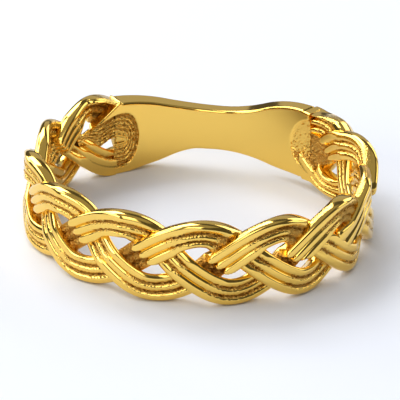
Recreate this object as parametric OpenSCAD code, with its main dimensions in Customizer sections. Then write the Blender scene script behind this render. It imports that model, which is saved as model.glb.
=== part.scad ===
// Braided band ring lying on its side: a flat plait of three strands, each of three round wires,
// runs round the front of the finger, and both of its ends meet a plain shank at the back.
// Millimetres. The finger hole's axis is Z, the plait's middle is at -Y and the shank's at +Y.

/* [Finger hole] */
// Radius of the finger hole
finger_r = 8.65; // [8:0.05:11]

/* [Plait] */
// Angle round the finger that the plait covers
braid_angle = 288; // [276:1:294]
// Turn-backs of the strands along each edge of the plait
turns = 10.75; // [9.75:1:10.75]
// Width of the plait across its turn-backs
braid_w = 5; // [4.8:0.05:5.6]

/* [Strand] */
// Radius of one wire
wire_r = 0.33; // [0.28:0.01:0.34]
// Distance between the middles of two wires that lie side by side
wire_step = 0.52; // [0.46:0.01:0.54]
// Radial room between two strands where they cross
cross_gap = 0.11; // [0.1:0.01:0.2]
// Lean of a strand while it changes between inside and outside, in degrees of its wave
lean = 5; // [3:1:7]

/* [Shank] */
// Thickness of the shank at the middle of the back
shank_t = 1.05; // [0.8:0.05:1.4]
// Width of the shank at its waist, the middle of the back
waist_w = 2.5; // [1.6:0.05:3.6]
// Width that the shank would have at the plait if both of its edges were straight ones
straight_w = 4.1; // [3.4:0.05:4.6]
// Gap between the shank and the strands' ends
end_gap = 0.06; // [0.04:0.01:0.2]

/* [Pockets] */
// Radius of the round pocket in the inner face at each end of the shank
pocket_r = 1.7; // [1.2:0.05:1.9]
// Reach of each pocket into the shank, measured from its end face
pocket_reach = 0.65; // [0.4:0.05:1.1]
// Offset of each pocket's middle towards the shank's bulged edge
pocket_offset = 0.4; // [0:0.05:0.6]

/* [Hidden] */
gold = [0.88, 0.69, 0.31];
$fn = 96;

// Wave of the strands: each strand makes one whole wave in three turn-backs. The last turn-back lies a
// short way before the shank, at the lower edge on the left and at the upper edge on the right, and
// the strand that makes it swells there
strands = 3;
turn_inset = 0.125;
swelling_left = strands - 1;
strand_half_w = wire_step + wire_r;
sway = braid_w / 2 - strand_half_w;
lift = wire_r + cross_gap / 2;
braid_t = 2 * (wire_r + lift);
mid_r = finger_r + wire_r + lift;
pitch = braid_angle / turns;
wave = strands * pitch;
end_u = braid_angle / 2;
last_turn = turns / 2 - turn_inset;
first_turn = strands - (last_turn + swelling_left + strands / 2) % strands;
swelling_right = round(last_turn - first_turn) % strands;
slope = sway * 360 / (wave * mid_r);
change = 3.5;

// Mesh of a strand: rings along each pitch, and steps on the outer and the middle wires
rings_per_pitch = 11;
outer_steps = 4;
middle_steps = 3;
ring_count = round(turns * rings_per_pitch);

// Last stretches of the plait, in shares of a pitch: where the strands' sections turn into the plane
// of the shank's end face, and where the swelling strand thickens to the plait's whole thickness
face_share = 0.3;
swell_share = 0.4;

// Shank: its outside is eccentric, so it grows from its own thickness to the plait's
degrees = 180 / PI;
end_r = finger_r + braid_t;
back_r = finger_r + shank_t;
half_angle = 180 - end_u - end_gap / mid_r * degrees;
off_centre = (end_r ^ 2 - back_r ^ 2) / (2 * (back_r - end_r * cos(half_angle)));
crown_r = ((braid_w / 2) ^ 2 + lift ^ 2) / (2 * lift);
bulge_x = finger_r * sin(last_turn * pitch);
straight_x = 1.2 * bulge_x;
outline_x = 1.05 * end_r * sin(half_angle);
edge_steps = 20;
pocket_angle = half_angle + (pocket_r - pocket_reach) / finger_r * degrees;
reach = 2 * end_r;

function tanh(x) = (exp(x) - exp(-x)) / (exp(x) + exp(-x));
function smooth_step(x) = let (c = min(1, max(0, x))) c * c * (3 - 2 * c);

// How far the last stretch has come at the angle u, for a stretch of the given share of a pitch
function last_stretch(u, share) = smooth_step((abs(u) - end_u) / (share * pitch) + 1);

// Wave angle of strand k at the angle u round the finger, measured from the plait's middle
function phase(k, u) = 90 + (u / pitch - first_turn - k) * 360 / strands;

// Swell of strand k at the angle u, from 0 to 1 at the shank
function swell(k, u) = k == (u < 0 ? swelling_left : swelling_right) ? last_stretch(u, swell_share) : 0;

// Level of a strand, from 1 outside to -1 inside: it passes over at one crossing and under at the next
function level(p) = tanh(change * sin(2 * p)) / tanh(change);

// Point of strand k at the angle u, at v across the strand and h through its thickness
function strand_point(k, u, v, h) =
  let (
    p = phase(k, u),
    climb = atan(slope * cos(p)),
    section = climb * (1 - last_stretch(u, face_share)),
    angle = u - v * sin(section) / mid_r * degrees,
    z = sway * sin(p) + v * cos(section),
    swelling = swell(k, u),
    up = lift * level(p + lean * v / strand_half_w * cos(p)) * (1 - swelling),
    thickness = 1 + swelling * (braid_t / (2 * wire_r) - 1),
    r = mid_r + up + h * thickness
  )
  [r * sin(angle), -r * cos(angle), z + braid_w / 2];

// Arc of one wire's round, without its first point
function wire_arc(middle, from, to, steps) =
  [for (i = [1:steps]) let (a = from + (to - from) * i / steps) [middle + wire_r * cos(a), wire_r * sin(a)]];

// Section of a strand: three wires side by side, run together at their valleys
valley = acos(wire_step / 2 / wire_r);
section_top = concat(
  [[strand_half_w, 0]],
  wire_arc(wire_step, 0, 180 - valley, outer_steps),
  wire_arc(0, valley, 180 - valley, middle_steps),
  wire_arc(-wire_step, valley, 180, outer_steps)
);
section_bottom = [for (i = [len(section_top) - 2:-1:1]) [section_top[i].x, -section_top[i].y]];
strand_section = concat(section_top, section_bottom);

// One strand, swept along its wave
module strand(k) {
  sides = len(strand_section);
  points = [
    for (i = [0:ring_count]) let (u = -end_u + 2 * end_u * i / ring_count)
      for (q = strand_section) strand_point(k, u, q.x, q.y)
  ];
  walls = [
    for (i = [0:ring_count - 1]) for (j = [0:sides - 1])
      let (a = i * sides + j, b = i * sides + (j + 1) % sides)
        each [[a, a + sides, b], [b, a + sides, b + sides]]
  ];
  first_face = [for (j = [0:sides - 1]) j];
  last_face = [for (j = [sides - 1:-1:0]) ring_count * sides + j];
  color(gold) polyhedron(points, concat([first_face], walls, [last_face]), convexity = 10);
}

// Half width of the shank at x: a hollow arc from the waist runs into a round arc that peaks at run
function edge(x, peak, run) =
  let (rise = peak - waist_w / 2, r = (run ^ 2 + rise ^ 2) / (4 * rise))
  x < run / 2 ? waist_w / 2 + r - sqrt(r ^ 2 - x ^ 2) : peak - r + sqrt(r ^ 2 - (run - x) ^ 2);
function bulged_edge(x) = edge(x, braid_w / 2, bulge_x);
function straighter_edge(x) = edge(x, straight_w / 2, straight_x);

// Outline of the shank seen through the finger hole, the same after half a turn
module shank_outline() {
  half = concat(
    [for (i = [edge_steps:-1:1]) let (x = outline_x * i / edge_steps) [-x, straighter_edge(x)]],
    [for (i = [0:edge_steps]) let (x = outline_x * i / edge_steps) [x, bulged_edge(x)]]
  );
  polygon(concat(half, [for (q = half) -q]));
}

// Crowned body that the shank is cut from
module crowned_body() {
  translate([0, -off_centre, 0]) rotate_extrude() intersection() {
    translate([back_r + off_centre - crown_r, 0]) circle(crown_r);
    translate([0, -braid_w]) square([reach, 2 * braid_w]);
  }
}

// Round pocket in the inner face, at one end of the shank
module pocket(side) {
  intersection() {
    rotate([0, 0, -side * pocket_angle]) translate([0, 0, side * pocket_offset])
      rotate([-90, 0, 0]) cylinder(r = pocket_r, h = reach);
    cylinder(r = finger_r + lift, h = 2 * braid_w, center = true);
  }
}

module shank() {
  color(gold) translate([0, 0, braid_w / 2]) difference() {
    intersection() {
      crowned_body();
      rotate([90, 0, 0]) translate([0, 0, -reach]) linear_extrude(reach) shank_outline();
      linear_extrude(2 * braid_w, center = true)
        polygon([[0, 0], [reach * tan(half_angle), reach], [-reach * tan(half_angle), reach]]);
    }
    cylinder(r = finger_r, h = 2 * braid_w, center = true);
    for (side = [-1, 1]) pocket(side);
  }
}

module strand_1() strand(0);
module strand_2() strand(1);
module strand_3() strand(2);

shank();
strand_1();
strand_2();
strand_3();
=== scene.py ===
import math
import bpy
import numpy as np
from mathutils import Matrix, Vector


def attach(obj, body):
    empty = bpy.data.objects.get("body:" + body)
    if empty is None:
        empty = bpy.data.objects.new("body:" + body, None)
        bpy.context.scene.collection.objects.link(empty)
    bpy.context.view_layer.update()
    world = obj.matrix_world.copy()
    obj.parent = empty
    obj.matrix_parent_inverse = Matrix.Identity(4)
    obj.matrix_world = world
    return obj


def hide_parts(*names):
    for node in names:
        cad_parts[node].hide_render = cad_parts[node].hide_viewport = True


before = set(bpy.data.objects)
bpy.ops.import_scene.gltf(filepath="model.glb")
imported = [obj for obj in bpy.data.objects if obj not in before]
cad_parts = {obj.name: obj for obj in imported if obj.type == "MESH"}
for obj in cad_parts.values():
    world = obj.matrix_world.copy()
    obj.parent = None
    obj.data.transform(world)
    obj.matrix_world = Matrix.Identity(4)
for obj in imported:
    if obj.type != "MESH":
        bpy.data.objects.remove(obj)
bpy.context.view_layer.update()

# The ring lies on its side with the plait in front. The ring's lengths are in millimetres and its angles in
# degrees, as in the part's source, and points are turned to metres last. Angles along the plait are
# counted from its front and angles along the shank from the back, and left is below 0
MM = 0.001

# Plait, with the names and values of the part's source. The strand numbered SWELLING makes the last
# turn-back at both ends, and thickens there
FINGER_R = 8.65
WIRE_R = 0.33
WIRE_STEP = 0.52
BRAID_W = 5.0
CROSS_GAP = 0.11
BRAID_ANGLE = 288.0
TURNS = 10.75
LEAN = 5.0
STRANDS = 3
TURN_INSET = 0.125
SWELLING = STRANDS - 1
FACE_SHARE = 0.3
SWELL_SHARE = 0.4
STRAND_HALF_W = WIRE_STEP + WIRE_R
PITCH = BRAID_ANGLE / TURNS
WAVE = STRANDS * PITCH
END_U = BRAID_ANGLE / 2
LAST_TURN = TURNS / 2 - TURN_INSET
FIRST_TURN = STRANDS - (LAST_TURN + SWELLING + STRANDS / 2) % STRANDS
SWAY = BRAID_W / 2 - STRAND_HALF_W
LIFT = WIRE_R + CROSS_GAP / 2
BRAID_T = 2 * (WIRE_R + LIFT)
MID_R = FINGER_R + WIRE_R + LIFT
END_R = FINGER_R + BRAID_T
SLOPE = SWAY * 360 / (WAVE * MID_R)

# Shank, with the names and values of the part's source
SHANK_T = 1.05
WAIST_W = 2.5
STRAIGHT_W = 4.1
END_GAP = 0.06
BACK_R = FINGER_R + SHANK_T
HALF_ANGLE = 180 - END_U - math.degrees(END_GAP / MID_R)
OFF_CENTRE = (END_R ** 2 - BACK_R ** 2) / (2 * (BACK_R - END_R * math.cos(math.radians(HALF_ANGLE))))
CROWN_R = ((BRAID_W / 2) ** 2 + LIFT ** 2) / (2 * LIFT)
BULGE_X = FINGER_R * math.sin(math.radians(LAST_TURN * PITCH))
STRAIGHT_X = 1.2 * BULGE_X


def smooth_step(x):
    """Goes from 0 to 1 as x does, and stays level outside."""
    c = np.clip(x, 0, 1)
    return c * c * (3 - 2 * c)


def between(x, start, end):
    """Goes from 0 to 1 as x goes from start to end, upwards or downwards."""
    return smooth_step((x - start) / (end - start))


def over(x, marks):
    """How far x lies within its marks: 0 at the first and 1 at the second, and back to 0 from the third to
    the fourth. With two marks it stays at 1, and with none it is 1 everywhere."""
    share = between(x, marks[0], marks[1]) if marks else 1
    if len(marks) == 4:
        share = share * (1 - between(x, marks[2], marks[3]))
    return share


def line_height(line, degrees):
    """Height of a line that is given as pairs of degrees and height."""
    return np.interp(degrees, [q[0] for q in line], [q[1] for q in line])


def at_least(x, least, ease):
    """The larger of x and least, with a rounded change between them."""
    return least + ease * np.logaddexp(0, (x - least) / ease)


def at_most(x, most, ease):
    """The smaller of x and most, with a rounded change between them."""
    return -at_least(-x, -most, ease)


# Camera, at the photograph's distance, height and turn. It sees from CAMERA_NEAR to CAMERA_FAR, in metres,
# and aims past the middle of the finger hole by two lengths, to the right and up in the picture
CAMERA_TURN = math.radians(5.77)
CAMERA_HEIGHT = math.radians(24.818)
CAMERA_ROLL = math.radians(2.929)
CAMERA_DISTANCE = 212.46
CAMERA_LENS = 336.0
CAMERA_SENSOR = 36
CAMERA_NEAR = 0.01
CAMERA_FAR = 5
AIM_RIGHT = 0.046
AIM_UP = -0.5315


def make_camera():
    """The camera stands in front of the plait, a little to its right, and looks down through the hole."""
    turn = (math.sin(CAMERA_TURN), math.cos(CAMERA_TURN))
    tilt = (math.sin(CAMERA_HEIGHT), math.cos(CAMERA_HEIGHT))
    level_right = Vector((turn[1], turn[0], 0))
    level_up = Vector((-turn[0] * tilt[0], turn[1] * tilt[0], tilt[1]))
    backwards = Vector((turn[0] * tilt[1], -turn[1] * tilt[1], tilt[0]))
    right = math.cos(CAMERA_ROLL) * level_right + math.sin(CAMERA_ROLL) * level_up
    up = math.cos(CAMERA_ROLL) * level_up - math.sin(CAMERA_ROLL) * level_right
    aim = Vector((0, 0, BRAID_W / 2)) + AIM_RIGHT * right + AIM_UP * up
    data = bpy.data.cameras.new("camera")
    data.sensor_width = CAMERA_SENSOR
    data.lens = CAMERA_LENS
    data.clip_start = CAMERA_NEAR
    data.clip_end = CAMERA_FAR
    camera = bpy.data.objects.new("camera", data)
    bpy.context.scene.collection.objects.link(camera)
    place = Matrix((right, up, backwards)).transposed().to_4x4()
    place.translation = (aim + CAMERA_DISTANCE * backwards) * MM
    camera.matrix_world = place
    bpy.context.scene.camera = camera


# Meshes. The mask of a grain is taken in steps, edges under the smooth angle are shaded smooth, and points
# closer than the merging distance become one
MASK_STEPS = 20
SMOOTH_ANGLE = math.radians(60)
MERGE = 0.002


def deselect():
    """Deselects every object."""
    bpy.ops.object.select_all(action="DESELECT")


def select(*pieces):
    """Selects these pieces alone, and makes the last one the active one."""
    deselect()
    for piece in pieces:
        piece.select_set(True)
    bpy.context.view_layer.objects.active = pieces[-1]


def edit(*steps):
    """Takes each step in edit mode with the whole mesh selected: an operator and its settings."""
    bpy.ops.object.mode_set(mode="EDIT")
    for operator, settings in steps:
        bpy.ops.mesh.select_all(action="SELECT")
        operator(**settings)
    bpy.ops.object.mode_set(mode="OBJECT")


def apply_modifier(piece, kind, **settings):
    """Adds a modifier to the piece and applies it."""
    modifier = piece.modifiers.new(kind.lower(), kind)
    for name, value in settings.items():
        setattr(modifier, name, value)
    bpy.context.view_layer.objects.active = piece
    bpy.ops.object.modifier_apply(modifier=modifier.name)


def corners(piece):
    """The mesh's points in millimetres, one row each."""
    flat = np.empty(len(piece.data.vertices) * 3)
    piece.data.vertices.foreach_get("co", flat)
    return flat.reshape(-1, 3) / MM


def place_corners(piece, points):
    """Moves the mesh's points to places that are given in millimetres."""
    piece.data.vertices.foreach_set("co", (points * MM).ravel())
    piece.data.update()


def give_values(piece, name, values):
    """Stores one number for each point, for the material to read."""
    field = piece.data.attributes.new(name, "FLOAT", "POINT")
    field.data.foreach_set("value", values)


def roughen(piece, name, mask, depth, grain):
    """Pushes the points in and out by a grain of this depth and size, where the mask is above 0."""
    group = piece.vertex_groups.new(name=name)
    steps = np.round(mask * MASK_STEPS).astype(int)
    for step in range(1, MASK_STEPS + 1):
        found = np.nonzero(steps == step)[0]
        if len(found):
            group.add(found.tolist(), step / MASK_STEPS, "REPLACE")
    texture = bpy.data.textures.new(name, "CLOUDS")
    texture.noise_scale = grain * MM
    texture.noise_depth = 1
    deselect()
    apply_modifier(
        piece, "DISPLACE", texture=texture, strength=depth * MM, mid_level=0.5,
        vertex_group=name, texture_coords="LOCAL",
    )
    piece.vertex_groups.clear()


# Strands. Each is first a straight bar of three round wires, run together at their valleys, and its
# points are then laid along the plait. The bar runs on past each end of the plait by the given degrees
BAR_STEPS = 1200
WIRE_SIDES = 26
BAR_END = 0.3


def wire_section(row):
    """Round outline of one wire across X, cut where it runs into its neighbours."""
    deselect()
    bpy.ops.mesh.primitive_circle_add(
        vertices=WIRE_SIDES, radius=WIRE_R * MM,
        location=(0, row * WIRE_STEP * MM, 0), rotation=(0, math.pi / 2, 0),
    )
    wire = bpy.context.object
    bpy.ops.object.transform_apply(location=True, rotation=True, scale=True)
    for side in (-1, 1):
        if abs(row + side) <= 1:
            valley = (0, (row + side / 2) * WIRE_STEP * MM, 0)
            cut = {"plane_co": valley, "plane_no": (0, side, 0), "clear_outer": True}
            edit((bpy.ops.mesh.bisect, cut))
    return wire


def wire_bar(name):
    """A straight bar along X, with three wires side by side across Y and closed ends."""
    wires = [wire_section(row) for row in (1, 0, -1)]
    select(*wires)
    bpy.ops.object.join()
    bar = bpy.context.object
    bar.name = name
    edit((bpy.ops.mesh.remove_doubles, {"threshold": MERGE * MM}))
    length = math.radians(2 * (END_U + BAR_END)) * MID_R
    apply_modifier(
        bar, "SCREW", axis="X", angle=0, screw_offset=length * MM,
        steps=BAR_STEPS, render_steps=BAR_STEPS,
    )
    edit(
        (bpy.ops.mesh.fill_holes, {"sides": 0}),
        (bpy.ops.mesh.normals_make_consistent, {"inside": False}),
    )
    return bar


# Faces of a strand, by its place on the wave between two dives: it comes up near 0 degrees, passes over
# at 45, turns back at 90 and sinks after that. A rising strand turns back at the upper edge and a sinking
# one at the lower. Both have: the place where they start to come up and the degrees that it takes, how
# many degrees later a wire's side comes up than its crest, and the same two for the way down
RISING = {"rise": (7, 9), "round": 7, "fall": (45, 75)}
SINKING = {"rise": (-32, 60), "round": 0, "fall": (50, 80)}
UNDER_LEVEL = -0.5

# Share of a flush face's height that it keeps to the end, and the places where it loses that
FLUSH_SHARE = 0.5
FLUSH_FALL = (124, 138)

# Places where the polish ends: where a pit starts unless PIT_LINE says it, how long its edge is, the end
# of the rough way up, and where the valleys are rough, on both kinds and on the sinking one alone
PIT_START = 100
PIT_EDGE = 16
ROUGH_RISE = (15, 11)
ROUGH_VALLEYS = (35, 60)
SINKING_VALLEYS = (20, 0)

# How many degrees of the wave earlier a strand comes up in front, in pairs of degrees and amount
EARLY_LINE = ((-38, 0), (-12, 8), (12, 17), (40, 19), (60, 33), (72, 30), (90, 0))

# Place on the wave where a rising strand's pit starts, in pairs of degrees and place
PIT_LINE = ((-25, 132), (-8, 130), (12, 108), (35, 96), (50, 88), (60, 66), (85, 66), (95, 100))

# The lowest wire of a strand comes up less early at the right: by this share, with its marks across and
# along
LOW_WIRE_SHARE = 0.6
LOW_WIRE = (-0.3, -0.5)
LOW_WIRE_ALONG = (25, 35)

# Stretch with deep pits, and the uppermost wire, which stays up beside them as a rim: its marks across
# the strand, the degrees that it sinks later, and the degrees that its polish runs on
DEEP_PITS = (-10, 10, 72, 85)
RIM = (0.4, 0.6)
RIM_LATE = 35
RIM_POLISH = 40

# Stretch left of the deep pits, where a rising strand sinks later by the given degrees
SLOW_FALL = (-100, -85, -10, 8)
SLOW_FALL_LATE = 37

# A strand's inner face is smoother than its outer one: these shares are left in its dives and valleys
INNER_DIVES = 0.25
INNER_VALLEYS = 0.6


def last_stretch(u, share):
    """How far the last stretch has come at the angle u, for a stretch of the given share of a pitch."""
    return smooth_step((abs(u) - END_U) / (share * PITCH) + 1)


def wave_angle(k, u):
    """Wave angle of strand k at the angle u, in radians."""
    return np.radians(90 + (u / PITCH - FIRST_TURN - k) * 360 / STRANDS)


def wave_place(p):
    """Place of a wave angle between two dives, from -45 to 135 degrees, and whether the strand rises."""
    place = (np.degrees(p) + 45) % 360 - 45
    rising = place < 135
    return np.where(rising, place, place - 180), rising


def face_level(p, off_wire, early=0, late=0, flush=0):
    """Level of a strand's outer face, with 1 on top. A strand that rises comes up steeply beside a pocket,
    each wire with a round end, and both kinds sink slowly past their turn-back. The face may come up some
    degrees early or sink some degrees late, and a flush one keeps part of its height to the end."""
    place, rising = wave_place(p)
    levels = []
    for kind in (RISING, SINKING):
        start = kind["rise"][0] + kind["round"] * off_wire ** 2 - early
        rise = smooth_step((place - start) / kind["rise"][1])
        fall = smooth_step((place - kind["fall"][0] - late) / (kind["fall"][1] - late / 2))
        kept = FLUSH_SHARE * flush
        fall = fall * (1 - kept) + kept * over(place, FLUSH_FALL)
        levels.append(UNDER_LEVEL + (1 - UNDER_LEVEL) * rise * (1 - fall))
    return np.where(rising, levels[0], levels[1])


def face_rough(p, early=0, pit_start=PIT_START):
    """How much of a face the polish didn't reach, in two parts: where it comes up and past the start of
    its pit, on a rising strand alone, and the valleys at its turn-back."""
    place, rising = wave_place(p)
    way_up = between(place, ROUGH_RISE[0] - early, ROUGH_RISE[1] - early)
    dive = np.maximum(between(place, pit_start, pit_start + PIT_EDGE), way_up)
    turn = over(place, ROUGH_VALLEYS)
    sinking_turn = np.maximum(turn, over(place, SINKING_VALLEYS))
    return np.where(rising, dive, 0), np.where(rising, turn, sinking_turn)


def strand_faces(u, v, p, off_wire):
    """Levels of a strand's outer and inner faces, and what face_rough says of each."""
    pits = over(u, DEEP_PITS)
    rim = over(v, RIM) * pits
    early = line_height(EARLY_LINE, u) * (1 - LOW_WIRE_SHARE * over(v, LOW_WIRE) * over(u, LOW_WIRE_ALONG))
    rising = wave_place(p)[1]
    late = np.where(rising, SLOW_FALL_LATE * over(u, SLOW_FALL) + RIM_LATE * rim, 0)
    outer = face_level(p, off_wire, early, late, np.where(rising, pits, 0))
    inner = -face_level(math.pi - p, off_wire)
    outer_rough = face_rough(p, early, line_height(PIT_LINE, u) + RIM_POLISH * rim)
    return outer, inner, outer_rough, face_rough(math.pi - p)


# Ends of the strands, fitted to the shank. Each place is two or four marks that over() reads: degrees
# along the plait, height across the strand from its middle, or depth through it, below 0 on its inner side
ALL = ()
ABOVE = (-0.03, 0.03)
BELOW = (0.03, -0.03)
INNER = (-0.01, -0.03)

# What changes there, and its value before any change: the shift upwards and the width as a share; the
# highest that any point may reach, and how rounded that cut is; how far the polished inner side is sunk;
# the share that is filled up smooth; the share of a rim at the finger, and its tilt; and the roughness
END_START = {
    "shift": 0, "width": 1, "top": BRAID_W / 2 + 0.14, "ease": 0.012, "sunk": 0,
    "fill": 0, "rim": 0, "tilt": 0, "rough": 0,
}

# Changes of each strand. Columns: what changes, by how much, and the places along, across and through
STRAND_1_ENDS = (
    # Hidden behind the shank's tongue on the left
    ("shift", 0.12, (-118, -128, -134, -140), ALL, ALL),
    ("width", -0.35, (-118, -128), ALL, ALL),
    ("sunk", 0.35, (-129, -133), ALL, ALL),
    # Wider above and then narrower on the right, and smooth and wide below at the shank
    ("width", 0.7, (51, 59, 63, 70), ABOVE, ALL),
    ("width", -0.22, (122, 127, 133, 137), ABOVE, ALL),
    ("width", -0.25, (110, 124), BELOW, ALL),
    ("width", 0.5, (136, 142.5), BELOW, ALL),
    ("sunk", 0.25, (136, 138), (0.1, 0.3), ALL),
    ("fill", 1, (134, 139), (0.31, 0.29), INNER),
    ("rough", 1, (136, 138), (0.1, 0.3), ALL),
)
STRAND_2_ENDS = (
    # A loop on the left that leaves a rim beside a rough pocket
    ("shift", 0.15, (-108, -118), ALL, ALL),
    ("width", -0.62, (-117.5, -124.5, -128, -130.5), BELOW, ALL),
    ("rim", 1, (-126, -128), (0.45, 0.6), INNER),
    ("rough", 1, (-127, -130), (0.5, 0.35), INNER),
    # A wide loop on the right
    ("shift", 0.14, (98, 108, 124, 132), ALL, ALL),
    ("shift", 0.12, (119, 129, 133, 141), ALL, ALL),
    ("width", 0.3, (119, 129, 133, 141), ABOVE, ALL),
    ("width", 0.2, (119, 129, 133, 141), BELOW, ALL),
    ("width", -0.3, (124, 129, 133, 138), BELOW, ALL),
)
STRAND_3_ENDS = (
    # As smooth as the shank on the left
    ("shift", -0.06, (-112, -124), ALL, ALL),
    ("width", -0.4, (-127, -135), (0, 0.5), (-0.25, 0)),
    ("sunk", 0.35, (-139.5, -139.9), ALL, ALL),
    ("fill", 1, (-119, -128), (0.3, 0), INNER),
    ("fill", 1, (-139, -143), (0, 0.3), INNER),
    # Coming up out of its pit on the right
    ("shift", 0.22, (112, 128), ALL, ALL),
    ("width", 0.16, (113, 120, 130, 135), (0.35, 0.7), ALL),
    ("top", -0.05, (118, 128), ALL, (-0.1, 0.2)),
    ("top", -0.21, (132, 140), ALL, ALL),
    ("ease", 0.05, (118, 126), ALL, ALL),
    ("rim", 0.8, (118, 128), ALL, INNER),
    ("tilt", 0.45, (118, 126, 134, 141), (0.35, 0.85), INNER),
)
END_CHANGES = (STRAND_1_ENDS, STRAND_2_ENDS, STRAND_3_ENDS)

# Last ribs of strand 3 on the right: how far its inner side is shifted up, in pairs of degrees and length,
# and the pit below their round ends, with its marks across
RIBS_LINE = ((114, 0), (120, 0.4), (126, 0.7), (131, 0.55), (135.5, 0.27), (139.5, 0.1), (144, 0))
RIBS_INNER = (0.2, -0.2)
RIBS_END = 139.8
RIBS_ROUND = 1.6
RIBS_EDGE = 0.9
RIBS_PIT = 0.5
RIBS_PIT_ACROSS = (0.82, 0.72)


def fit_end(k, u, v, h, off_wire):
    """How strand k is fitted to the shank at each point: the values that END_START names."""
    end = {name: np.full(len(u), float(start)) for name, start in END_START.items()}
    for name, amount, along, across, through in END_CHANGES[k]:
        end[name] += amount * over(u, along) * over(v, across) * over(h, through)
    if k == SWELLING:
        end["shift"] += line_height(RIBS_LINE, u) * over(h, RIBS_INNER)
        edge = RIBS_END - RIBS_ROUND * off_wire ** 2
        end["sunk"] += RIBS_PIT * between(u, edge, edge + RIBS_EDGE) * over(v, RIBS_PIT_ACROSS)
    return end


# Radii that the polish takes the highest and the lowest faces down to, and how rounded that cut is
POLISHED_OUT = END_R - 0.065
POLISHED_IN = FINGER_R + 0.05
POLISH_EASE = 0.008

# Depth over which a point comes to count as outside, and the lowest that any point may reach, with how
# rounded that cut is
OUTSIDE = (-0.625 * WIRE_R, 0.625 * WIRE_R)
LOWEST = -BRAID_W / 2 - 0.03
LOWEST_EASE = 0.04

# Valleys: how much deeper they are cut, the share of that a dive loses, how rough they are by the distance
# from a crest, and where they fade at the left end of strand 3, in shares and marks along
VALLEY_DEPTH = 0.1
VALLEY_DIVE = 0.6
VALLEY_ROUGH = (0.45, 0.8)
VALLEY_FADES = ((0.6, (-118, -124)), (0.4, (-126, -134)))

# A filled stretch reaches in to this depth and is polished this much deeper, and a rim's inner face comes
# to this level
FILL_FACE = 0.75
FILL_DEEPER = 0.045
RIM_LEVEL = -0.8

# Outward belly of the plait at the right, and its marks along
BELLY = 0.14
BELLY_ALONG = (92, 104, 130, 139)

# Front of the plait, where the holes are: a rising strand is narrower below by this share, with its
# places on the wave, across and along, and every strand has a bevel on the inner side of its upper edge
FRONT = (-100, -80, 70, 85)
NARROW = 0.25
NARROW_PLACE = (40, 65, 100, 120)
NARROW_ACROSS = (0, -0.2)
NARROW_ALONG = (-120, -10)
BEVEL = 0.3
BEVEL_ACROSS = (0.35, 0.8)
BEVEL_RISING = (-5, -25)
BEVEL_SINKING = (-20, 10)

# Grit of the faces that the polish didn't reach: its depth, its grain, and the height across the strand
# where it fades towards the edges. The real grit is finer, and is drawn this coarse so that it shows
GRIT_DEPTH = 0.22
GRIT_GRAIN = 0.1
GRIT_ACROSS = (0.75, 0.55)


def lay_strand(bar, k):
    """Lays the bar's points along strand k's wave, and polishes its highest and lowest places."""
    flat = corners(bar)
    u = (flat[:, 0] / flat[:, 0].max() - 0.5) * 2 * (END_U + BAR_END)
    v = flat[:, 1]
    h = flat[:, 2]
    p = wave_angle(k, u)
    place, rising = wave_place(p)
    outside = over(h, OUTSIDE)
    crest = WIRE_STEP * np.clip(np.round(v / WIRE_STEP), -1, 1)
    off_wire = np.clip(np.abs(v - crest) / (WIRE_STEP / 2), 0, 1)
    leaning = p + math.radians(LEAN) * v / STRAND_HALF_W * np.cos(p)
    outer, inner, outer_rough, inner_rough = strand_faces(u, v, leaning, off_wire)
    dive = np.where(h > 0, outer_rough[0], INNER_DIVES * inner_rough[0])
    turn = np.where(h > 0, outer_rough[1], INNER_VALLEYS * inner_rough[1])

    # Valleys between the wires are cut deeper than round wires make them
    in_valley = np.abs(v) < WIRE_STEP
    valley = VALLEY_DEPTH * np.where(in_valley, off_wire ** 3, 0) * (1 - VALLEY_DIVE * dive)
    if k == SWELLING:
        valley = valley * (1 - sum(share * over(u, marks) for share, marks in VALLEY_FADES))
    h = h - np.sign(h) * valley

    # Distance from the finger's axis
    end = fit_end(k, u, v, h, off_wire)
    fill = end["fill"]
    swelling = last_stretch(u, SWELL_SHARE) * (k == SWELLING)
    inner = inner + end["rim"] * (RIM_LEVEL - inner) + end["tilt"]
    up = LIFT * (inner + (outer - inner) * outside) * (1 - swelling) * (1 - fill)
    thickness = 1 + swelling * (BRAID_T / (2 * WIRE_R) - 1)
    h = h * (1 - fill) - FILL_FACE * fill
    r = at_most(MID_R + up + h * thickness, POLISHED_OUT, POLISH_EASE)
    r = r + BELLY * over(u, BELLY_ALONG) * outside
    r = at_least(r, POLISHED_IN - FILL_DEEPER * fill + end["sunk"], POLISH_EASE)

    # Angle and height, across the wave's slope
    front = over(u, FRONT)
    section = np.arctan(SLOPE * np.cos(p)) * (1 - last_stretch(u, FACE_SHARE))
    narrow = rising * over(place, NARROW_PLACE) * over(v, NARROW_ACROSS) * over(u, NARROW_ALONG)
    across = v * end["width"] * (1 - NARROW * front * narrow)
    angle = np.radians(u) - across * np.sin(section) / MID_R
    bevel = np.where(rising, over(place, BEVEL_RISING), over(place, BEVEL_SINKING))
    z = SWAY * np.sin(p) + across * np.cos(section) + end["shift"]
    z = z - BEVEL * (1 - outside) * over(v, BEVEL_ACROSS) * bevel * front
    z = at_least(at_most(z, end["top"], end["ease"]), LOWEST, LOWEST_EASE)
    place_corners(bar, np.stack([r * np.sin(angle), -r * np.cos(angle), z + BRAID_W / 2], 1))

    # Roughness of the dives and the valleys, which also gives them the deeper cast colour as painted shade
    rough = np.maximum(dive, np.where(in_valley, over(off_wire, VALLEY_ROUGH), 0) * turn)
    rough = np.maximum(rough * (1 - swelling) * (1 - fill), end["rough"])
    give_values(bar, "unpolished_and_shade", rough)
    roughen(bar, "grit", rough * over(np.abs(v), GRIT_ACROSS), GRIT_DEPTH, GRIT_GRAIN)


def make_strand(k):
    """Strand k, laid round the finger in the place of its CAD solid."""
    strand = wire_bar("braid_strand_%d" % (k + 1))
    lay_strand(strand, k)
    select(strand)
    bpy.ops.object.shade_smooth_by_angle(angle=SMOOTH_ANGLE)
    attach(strand, "root")
    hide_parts("strand_%d" % (k + 1))
    return strand


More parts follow.
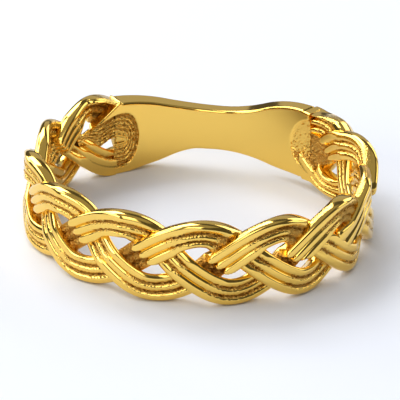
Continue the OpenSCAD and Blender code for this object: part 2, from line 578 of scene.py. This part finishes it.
# Shank. A bar with rounded edges is spun round the back of the finger, and its points are then moved to
# the real outline, thickness and relief. The tongue at its left end is spun and shaped apart
SHANK_LEFT = -41.6
SHANK_RIGHT = 50.0
TONGUE_LEFT = -60.0
SHANK_STEP = 0.27

# Bar before it is shaped: its width and thickness, the round of its edges, and how often its inner face,
# its outer face and its two sides are cut. A point is at a side from this share of the size on
BLANK_W = 4.0
BLANK_T = 1.2
EDGE_ROUND = 0.13
EDGE_STEPS = 6
INNER_CUTS = 88
OUTER_CUTS = 30
SIDE_CUTS = 8
AT_SIDE = 0.49


def shank_blank(left, right):
    """A bar spun round the finger from left to right, in degrees from the back, its corners rounded."""
    deselect()
    bpy.ops.mesh.primitive_plane_add(size=1, location=(0, 0, 0))
    blank = bpy.context.object
    edit(
        (bpy.ops.mesh.delete, {"type": "ONLY_FACE"}),
        (bpy.ops.transform.resize, {"value": (BLANK_T * MM, BLANK_W * MM, 1)}),
        (bpy.ops.mesh.bevel, {"offset": EDGE_ROUND * MM, "segments": EDGE_STEPS, "affect": "VERTICES"}),
    )
    for side, face_cuts in ((-1, INNER_CUTS), (1, OUTER_CUTS)):
        cut_straight_edge(blank, 0, side, face_cuts)
        cut_straight_edge(blank, 1, side, SIDE_CUTS)
    edit((bpy.ops.transform.translate, {"value": ((FINGER_R + BLANK_T / 2) * MM, 0, 0)}))
    blank.rotation_euler = (math.pi / 2, 0, math.radians(90 - left))
    bpy.ops.object.transform_apply(location=True, rotation=True, scale=True)
    turn = {"steps": round((right - left) / SHANK_STEP), "angle": math.radians(right - left)}
    edit(
        (bpy.ops.mesh.spin, {**turn, "center": (0, 0, 0), "axis": (0, 0, 1)}),
        (bpy.ops.mesh.fill_holes, {"sides": 0}),
        (bpy.ops.mesh.normals_make_consistent, {"inside": False}),
    )
    return blank


def cut_straight_edge(blank, axis, side, cuts):
    """Cuts the section's one long edge at this side of the axis, 0 for X and 1 for Y."""
    outermost = AT_SIDE * (BLANK_T, BLANK_W)[axis] * MM
    shortest = (BLANK_W, BLANK_T)[axis] / 2 * MM
    bpy.ops.object.mode_set(mode="EDIT")
    bpy.ops.mesh.select_mode(type="EDGE")
    bpy.ops.mesh.select_all(action="DESELECT")
    bpy.ops.object.mode_set(mode="OBJECT")
    points = [v.co.copy() for v in blank.data.vertices]
    for edge in blank.data.edges:
        a, b = (points[i] for i in edge.vertices)
        at_side = min(a[axis] * side, b[axis] * side) > outermost
        edge.select = at_side and abs(a[1 - axis] - b[1 - axis]) > shortest
    bpy.ops.object.mode_set(mode="EDIT")
    bpy.ops.mesh.subdivide(number_cuts=cuts)
    bpy.ops.object.mode_set(mode="OBJECT")


# Changes of the lower edge's height: by how much, and the marks along
LOW_EDGE_CHANGES = ((0.22, (20, 37)), (0.11, (-2, -10, -26, -36)))

# Edges past the shank's ends, in pairs of degrees and height from the middle, and the degrees where they
# take over: the tongue's upper edge, the upper edge of the fan's recess, the upper edge of the hole below
# the tongue, and the two edges of the web at the right
TONGUE_TOP_LINE = (
    (-60, 0.62), (-57.8, 0.66), (-56.3, 0.72), (-52.6, 0.86), (-49.5, 1.1), (-47, 1.33), (-43.7, 1.68),
    (-40.6, 2.02), (-39, 2.2),
)
RECESS_LINE = (
    (-60, 1.3), (-51.5, 1.05), (-49.5, 1.0), (-47.2, 1.1), (-43.0, 1.32), (-39.7, 1.38), (-37.6, 1.38),
)
HOLE_TOP_LINE = (
    (-60, 0.0), (-55.7, -0.05), (-51, -0.38), (-48.5, -0.44), (-47, -0.34), (-45.6, -0.27),
    (-44.2, -0.16), (-41.8, -0.1), (-37.6, -0.34),
)
WEB_TOP_LINE = ((36, 2.46), (39.5, 2.44), (40.6, 1.3), (45, 1.3), (50, 1.1))
WEB_LOW_LINE = ((36, -1.72), (41, -1.6), (43, -0.9), (50, -0.2))
PAST_LEFT = (-38.5, -40)
PAST_RIGHT = (35.6, 36.6)


def edge_height(x, peak, run):
    """Half width of the shank at x: a hollow arc from the waist runs into a round arc that peaks at run."""
    rise = peak - WAIST_W / 2
    r = (run ** 2 + rise ** 2) / (4 * rise)
    hollow = WAIST_W / 2 + r - np.sqrt(np.maximum(r ** 2 - x ** 2, 0))
    rounded = peak - r + np.sqrt(np.maximum(r ** 2 - (run - x) ** 2, 0))
    return np.where(x < run / 2, hollow, rounded)


def shank_top(x):
    """Height of the upper edge: straighter on the left, bulged on the right."""
    straighter = edge_height(np.abs(x), STRAIGHT_W / 2, STRAIGHT_X)
    bulged = edge_height(np.abs(x), BRAID_W / 2, BULGE_X)
    return np.where(x > 0, bulged, straighter)


def shank_outline(x, degrees):
    """Heights of the shank's upper and lower edges, which run on into the tongue and the web."""
    top = shank_top(x)
    bottom = -shank_top(-x) + sum(rise * over(degrees, marks) for rise, marks in LOW_EDGE_CHANGES)
    past_left = over(degrees, PAST_LEFT)
    past_right = over(degrees, PAST_RIGHT)
    top = top * (1 - past_left) + line_height(TONGUE_TOP_LINE, degrees) * past_left
    top = top * (1 - past_right) + line_height(WEB_TOP_LINE, degrees) * past_right
    bottom = bottom * (1 - past_right) + line_height(WEB_LOW_LINE, degrees) * past_right
    return top, bottom


def tongue_outline(x, degrees):
    """Heights of the tongue's edges, where the shank's inner face runs on over strand 1. They follow the
    degrees alone."""
    return line_height(TONGUE_TOP_LINE, degrees), line_height(HOLE_TOP_LINE, degrees)


# Shaping. The layers next to the inner and the outer face and the strips along the edges keep their size,
# and the rest is stretched, but an edge strip takes no more than a share of a narrow piece. The outer
# face's crown ends at this half width, and the shaping is repeated this often
LAYER = 0.2
EDGE_STRIP = 0.35
EDGE_STRIP_SHARE = 0.3
CROWN_HALF_W = 2.6
SHAPING_ROUNDS = 3

# Past its ends the shank thins to a web or a tongue of this thickness: the degrees where that starts at
# the lower side, how much later it starts at the upper side, with its marks across, and the degrees that
# it takes. The tongue is thinner again at its tip
WEB_T = 0.68
THIN_LEFT = 36
THIN_LEFT_LATER = 3.8
THIN_LEFT_ACROSS = (0.6, 1.2)
THIN_RIGHT = 35.6
THIN_RIGHT_LATER = 3
THIN_RIGHT_ACROSS = (1.9, 2.2)
THIN_RUN = 0.8
TIP_THINNER = 0.4
TIP = (-50.8, -53)

# The lower part of the left end leans outwards by these degrees through its thickness
LEAN_LEFT = math.radians(3.2)
LEAN_LEFT_ALONG = (-30, -41.6)
LEAN_LEFT_ACROSS = (-0.1, -0.4)

# Depth through the shank to which the carving of its inner face reaches
INNER_FACE = (0.05, 0.02)

# Grit of the shank's unpolished places, coarser than the strands' as in the photograph
SHANK_GRIT_DEPTH = 0.32
SHANK_GRIT_GRAIN = 0.13


def outer_radius(degrees, z):
    """Distance of the shank's outer face from the finger's axis: the crown, or the thin piece past it."""
    a = np.radians(degrees)
    drop = np.sqrt(CROWN_R ** 2 - np.minimum(np.abs(z), CROWN_HALF_W) ** 2)
    crown = BACK_R + OFF_CENTRE - CROWN_R + drop
    full = -OFF_CENTRE * np.cos(a) + np.sqrt(crown ** 2 - (OFF_CENTRE * np.sin(a)) ** 2)
    left = THIN_LEFT + THIN_LEFT_LATER * over(z, THIN_LEFT_ACROSS)
    right = THIN_RIGHT + THIN_RIGHT_LATER * over(z, THIN_RIGHT_ACROSS)
    thin = np.maximum(between(-degrees, left, left + THIN_RUN), between(degrees, right, right + THIN_RUN))
    return full * (1 - thin) + (FINGER_R + WEB_T - TIP_THINNER * over(degrees, TIP)) * thin


def shape_shank(blank, outline):
    """Moves the spun bar's points to the shank's outline and thickness, with the carved ends."""
    flat = corners(blank)
    degrees = np.degrees(np.arctan2(flat[:, 0], flat[:, 1]))
    through = np.hypot(flat[:, 0], flat[:, 1]) - FINGER_R
    low = flat[:, 2] + BLANK_W / 2
    high = BLANK_W / 2 - flat[:, 2]
    share = np.clip((low - EDGE_STRIP) / (BLANK_W - 2 * EDGE_STRIP), 0, 1)
    a = np.radians(degrees)
    r = FINGER_R + through

    # The outline goes by how far right a point is, and that follows its thickness, so both take turns
    for _ in range(SHAPING_ROUNDS):
        top, bottom = outline(r * np.sin(a), degrees)
        strip = np.minimum(EDGE_STRIP, (top - bottom) * EDGE_STRIP_SHARE)
        z = bottom + strip + (top - bottom - 2 * strip) * share
        z = np.where(low < EDGE_STRIP, bottom + low * strip / EDGE_STRIP, z)
        z = np.where(high < EDGE_STRIP, top - high * strip / EDGE_STRIP, z)
        t = outer_radius(degrees, z) - FINGER_R
        middle = LAYER + (through - LAYER) * (t - 2 * LAYER) / (BLANK_T - 2 * LAYER)
        deep = np.where(through < LAYER, through, middle)
        deep = np.where(through > BLANK_T - LAYER, t - (BLANK_T - through), deep)
        r = FINGER_R + deep

    leaning = np.clip(through / WEB_T, 0, 1) * over(degrees, LEAN_LEFT_ALONG) * over(z, LEAN_LEFT_ACROSS)
    a = a + LEAN_LEFT * leaning
    inner = over(through, INNER_FACE)
    depth_left, rough_left = carve_left(degrees, z)
    depth_right, rough_right = carve_right(degrees, z)
    r = r + inner * (depth_left + depth_right)
    place_corners(blank, np.stack([r * np.sin(a), r * np.cos(a), z + BRAID_W / 2], 1))
    # Roughness of the carved places, which also gives them the deeper cast colour as painted shade
    rough = np.clip(rough_left + rough_right, 0, 1) * inner
    give_values(blank, "unpolished_and_shade", rough)
    roughen(blank, "grit", rough, SHANK_GRIT_DEPTH, SHANK_GRIT_GRAIN)


# Fan of fine ridges at the left end. It is round about its middle, and then runs on along the tongue
# between the hole and the recess line. Lengths round it are shares of its radius
FAN_MIDDLE = (-37.6, -0.34)
FAN_R = 1.72
FAN_SQUASH = 1.75
FAN_EDGE = (1, 0.93)
FAN_DEPTH = 0.14
FAN_ROUGH = 0.9
RIDGE_STEP = 0.16
RIDGE_CREST = 0.76
RIDGE_HEIGHT = 0.09
RIDGE_SMOOTH = 0.8
RIDGES = (0.9, 0.8)

# Middle of the fan, which is shallower and smoother by these shares: its marks round, along and down
FAN_MIDDLE_RISE = 0.4
FAN_MIDDLE_SMOOTH = 0.8
FAN_MIDDLE_ROUND = (0.34, 0.16)
FAN_MIDDLE_ALONG = (-0.7, -0.4)
FAN_MIDDLE_DOWN = (-0.4, -0.9)
FAN_MIDDLE_DOWN_SHARE = 0.5

# The tongue's end sinks by this much
TONGUE_SINKS = 0.15
TONGUE_END = (-48, -54)


def carve_left(degrees, z):
    """Depth and roughness of the fan of fine ridges at the left end, which run on along the tongue."""
    x = np.radians(degrees - FAN_MIDDLE[0]) * FINGER_R
    y = z - FAN_MIDDLE[1]
    low = line_height(HOLE_TOP_LINE, degrees)
    high = line_height(RECESS_LINE, degrees)
    ring = np.hypot(np.maximum(x, 0) * FAN_SQUASH, y) / FAN_R
    s = np.where((x < 0) & (z > low), (z - low) / (high - low), ring)
    inside = over(s, FAN_EDGE)
    ridges = (0.5 + 0.5 * np.cos((s - RIDGE_CREST) * 2 * np.pi / RIDGE_STEP)) * over(s, RIDGES)
    middle = over(s, FAN_MIDDLE_ROUND) * over(x, FAN_MIDDLE_ALONG)
    middle = middle * (1 - FAN_MIDDLE_DOWN_SHARE * over(y, FAN_MIDDLE_DOWN))
    depth = inside * (FAN_DEPTH - RIDGE_HEIGHT * ridges) * (1 - FAN_MIDDLE_RISE * middle)
    rough = inside * (FAN_ROUGH - RIDGE_SMOOTH * ridges) * (1 - FAN_MIDDLE_SMOOTH * middle)
    return depth + TONGUE_SINKS * over(degrees, TONGUE_END), rough


# Round pit at the right end: its middle in degrees and height, its radius, and how far its steep edge and
# its sloping floor reach in, with their depths. Its upper part is nearly smooth
PIT_MIDDLE = (41.9, 0.42)
PIT_R = 1.7
PIT_STEEP = 0.16
PIT_STEEP_DEPTH = 0.1
PIT_SLOPE = 1.2
PIT_SLOPE_DEPTH = 0.16
PIT_ROUGH = 0.18
PIT_ROUGH_ACROSS = (0, -0.45)

# Web past the pit, rough all over
WEB = (39, 40)
WEB_DEPTH = 0.24


def carve_right(degrees, z):
    """Depth and roughness of the round sandy pit at the right end, and of the rough web past it."""
    x = np.radians(degrees - PIT_MIDDLE[0]) * FINGER_R
    inwards = PIT_R - np.hypot(x, z - PIT_MIDDLE[1])
    inside = smooth_step(inwards / PIT_STEEP)
    depth = inside * (PIT_STEEP_DEPTH + PIT_SLOPE_DEPTH * smooth_step(inwards / PIT_SLOPE))
    rough = inside * (PIT_ROUGH + (1 - PIT_ROUGH) * over(z, PIT_ROUGH_ACROSS))
    web = over(degrees, WEB)
    return np.maximum(depth, WEB_DEPTH * web), np.maximum(rough, web)


def make_shank():
    """The shank, with its tongue at the left end joined to it."""
    tongue = shank_blank(TONGUE_LEFT, SHANK_LEFT)
    shape_shank(tongue, tongue_outline)
    shank = shank_blank(SHANK_LEFT, SHANK_RIGHT)
    shank.name = "shank_body"
    shape_shank(shank, shank_outline)
    select(tongue, shank)
    bpy.ops.object.join()
    bpy.ops.object.shade_smooth_by_angle(angle=SMOOTH_ANGLE)
    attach(shank, "root")
    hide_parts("shank")
    return shank


# Gold. Cast 14 carat yellow gold, polished where a wheel or a drill can reach
POLISHED_COLOUR = "F9D373"
# The deeper cast colour is partly the dull cast skin and partly painted shade of the hollows where that
# skin lies
CAST_AND_SHADE_COLOUR = "DAB162"
POLISHED_ROUGHNESS = 0.12
CAST_ROUGHNESS = 0.3

# Skin of the casting where it isn't polished. The real one is finer, and is drawn with 9 grains to the
# millimetre so that it shows
SKIN_GRAINS = 9.0
SKIN_HEIGHT = 0.2
SKIN_DETAIL = 2.0


def linear(hex_colour):
    """The linear colour of an sRGB hex value such as "E0B050"."""
    parts = [int(hex_colour[i:i + 2], 16) / 255 for i in (0, 2, 4)]
    return [p / 12.92 if p <= 0.04045 else ((p + 0.055) / 1.055) ** 2.4 for p in parts] + [1.0]


def add_node(tree, kind, settings=None, links=None, values=None):
    """Adds one node, sets what it has, and links its inputs: {input: (node, output)}."""
    node = tree.nodes.new(kind)
    for name, value in (settings or {}).items():
        setattr(node, name, value)
    for name, value in (values or {}).items():
        node.inputs[name].default_value = value
    for name, (source, output) in (links or {}).items():
        tree.links.new(source.outputs[output], node.inputs[name])
    return node


def new_material(name):
    """A material without nodes yet, and its node tree."""
    material = bpy.data.materials.new(name)
    material.use_nodes = True
    material.node_tree.nodes.clear()
    return material, material.node_tree


def finish_material(tree, shader):
    """Links the shader to the material's output."""
    add_node(tree, "ShaderNodeOutputMaterial", links={"Surface": (shader, "BSDF")})


def polished_gold():
    """Yellow gold: mirror bright where polished, and as cast, dull, in the hollows, whose deeper colour
    there is painted shade.
    """
    material, tree = new_material("polished_yellow_gold")
    place = add_node(tree, "ShaderNodeTexCoord")
    rough = add_node(tree, "ShaderNodeAttribute", {"attribute_name": "unpolished_and_shade"})
    # Painted shade: the rough hollows take the deeper cast colour
    colour = add_node(
        tree, "ShaderNodeMix", {"data_type": "RGBA"}, {"Factor": (rough, "Fac")},
        {"A": linear(POLISHED_COLOUR), "B": linear(CAST_AND_SHADE_COLOUR)},
    )
    gloss = add_node(
        tree, "ShaderNodeMapRange", None, {"Value": (rough, "Fac")},
        {"To Min": POLISHED_ROUGHNESS, "To Max": CAST_ROUGHNESS},
    )
    skin = add_node(
        tree, "ShaderNodeTexNoise", None, {"Vector": (place, "Object")},
        {"Scale": SKIN_GRAINS / MM, "Detail": SKIN_DETAIL},
    )
    bump = add_node(
        tree, "ShaderNodeBump", None, {"Height": (skin, "Fac"), "Strength": (rough, "Fac")},
        {"Distance": SKIN_HEIGHT * MM},
    )
    shader = add_node(
        tree, "ShaderNodeBsdfPrincipled", None,
        {"Base Color": (colour, "Result"), "Roughness": (gloss, "Result"), "Normal": (bump, "Normal")},
        {"Metallic": 1.0},
    )
    finish_material(tree, shader)
    return material


def give_material(piece, material):
    """Makes this the piece's one material."""
    piece.data.materials.clear()
    piece.data.materials.append(material)


# Studio, with its lengths in metres: a pale floor, soft boxes all round and above, and a faint even light
FLOOR_SIZE = 3
FLOOR_COLOUR = "EAEEF7"
FLOOR_ROUGHNESS = 0.7
FLOOR_GLOSS = 0.1
EVEN_LIGHT = 0.09
BOX_AWAY = 0.4

# Soft boxes. Columns: name, degrees round the ring from its front, degrees up, side in metres, and watts
BOXES = (
    ("left_box", 270, 50, 0.2, 0.42),
    ("low_back_left_box", 240, 24, 0.2, 0.37),
    ("back_left_box", 212, 50, 0.2, 0.52),
    ("low_front_left_box", 315, 24, 0.2, 0.36),
    ("front_box", 0, 50, 0.2, 0.23),
    ("low_front_box", 0, 24, 0.2, 0.14),
    ("low_back_box", 182, 24, 0.2, 0.04),
    ("low_back_right_box", 150, 24, 0.2, 0.22),
    ("low_right_box", 110, 24, 0.2, 0.16),
    ("top_box", 0, 88, 0.5, 0.17),
)


def make_floor():
    """The table: matt white paper, pale and a little cool, with hardly any gloss."""
    deselect()
    bpy.ops.mesh.primitive_plane_add(size=FLOOR_SIZE, location=(0, 0, 0))
    floor = bpy.context.object
    floor.name = "floor"
    material, tree = new_material("white_paper")
    shader = add_node(
        tree, "ShaderNodeBsdfPrincipled", None, None,
        {
            "Base Color": linear(FLOOR_COLOUR), "Roughness": FLOOR_ROUGHNESS,
            "Specular IOR Level": FLOOR_GLOSS,
        },
    )
    finish_material(tree, shader)
    give_material(floor, material)


def soft_box(name, turn, height, side, power):
    """A square soft box that faces the ring."""
    data = bpy.data.lights.new(name, "AREA")
    data.shape = "RECTANGLE"
    data.size = side
    data.size_y = side
    data.energy = power
    turn = math.radians(turn)
    height = math.radians(height)
    flat = math.cos(height)
    away = Vector((math.sin(turn) * flat, -math.cos(turn) * flat, math.sin(height)))
    box = bpy.data.objects.new(name, data)
    bpy.context.scene.collection.objects.link(box)
    box.location = BOX_AWAY * away
    box.rotation_euler = (-away).to_track_quat("-Z", "Y").to_euler()


def make_studio():
    """The even light and the soft boxes, and how the picture is shown."""
    world = bpy.data.worlds.new("studio")
    bpy.context.scene.world = world
    world.use_nodes = True
    back = world.node_tree.nodes["Background"]
    back.inputs["Color"].default_value = (1, 1, 1, 1)
    back.inputs["Strength"].default_value = EVEN_LIGHT
    for box in BOXES:
        soft_box(*box)
    bpy.context.scene.view_settings.view_transform = "Standard"
    bpy.context.scene.view_settings.look = "Medium High Contrast"


make_camera()
gold = polished_gold()
for k in range(STRANDS):
    give_material(make_strand(k), gold)
give_material(make_shank(), gold)
make_floor()
make_studio()
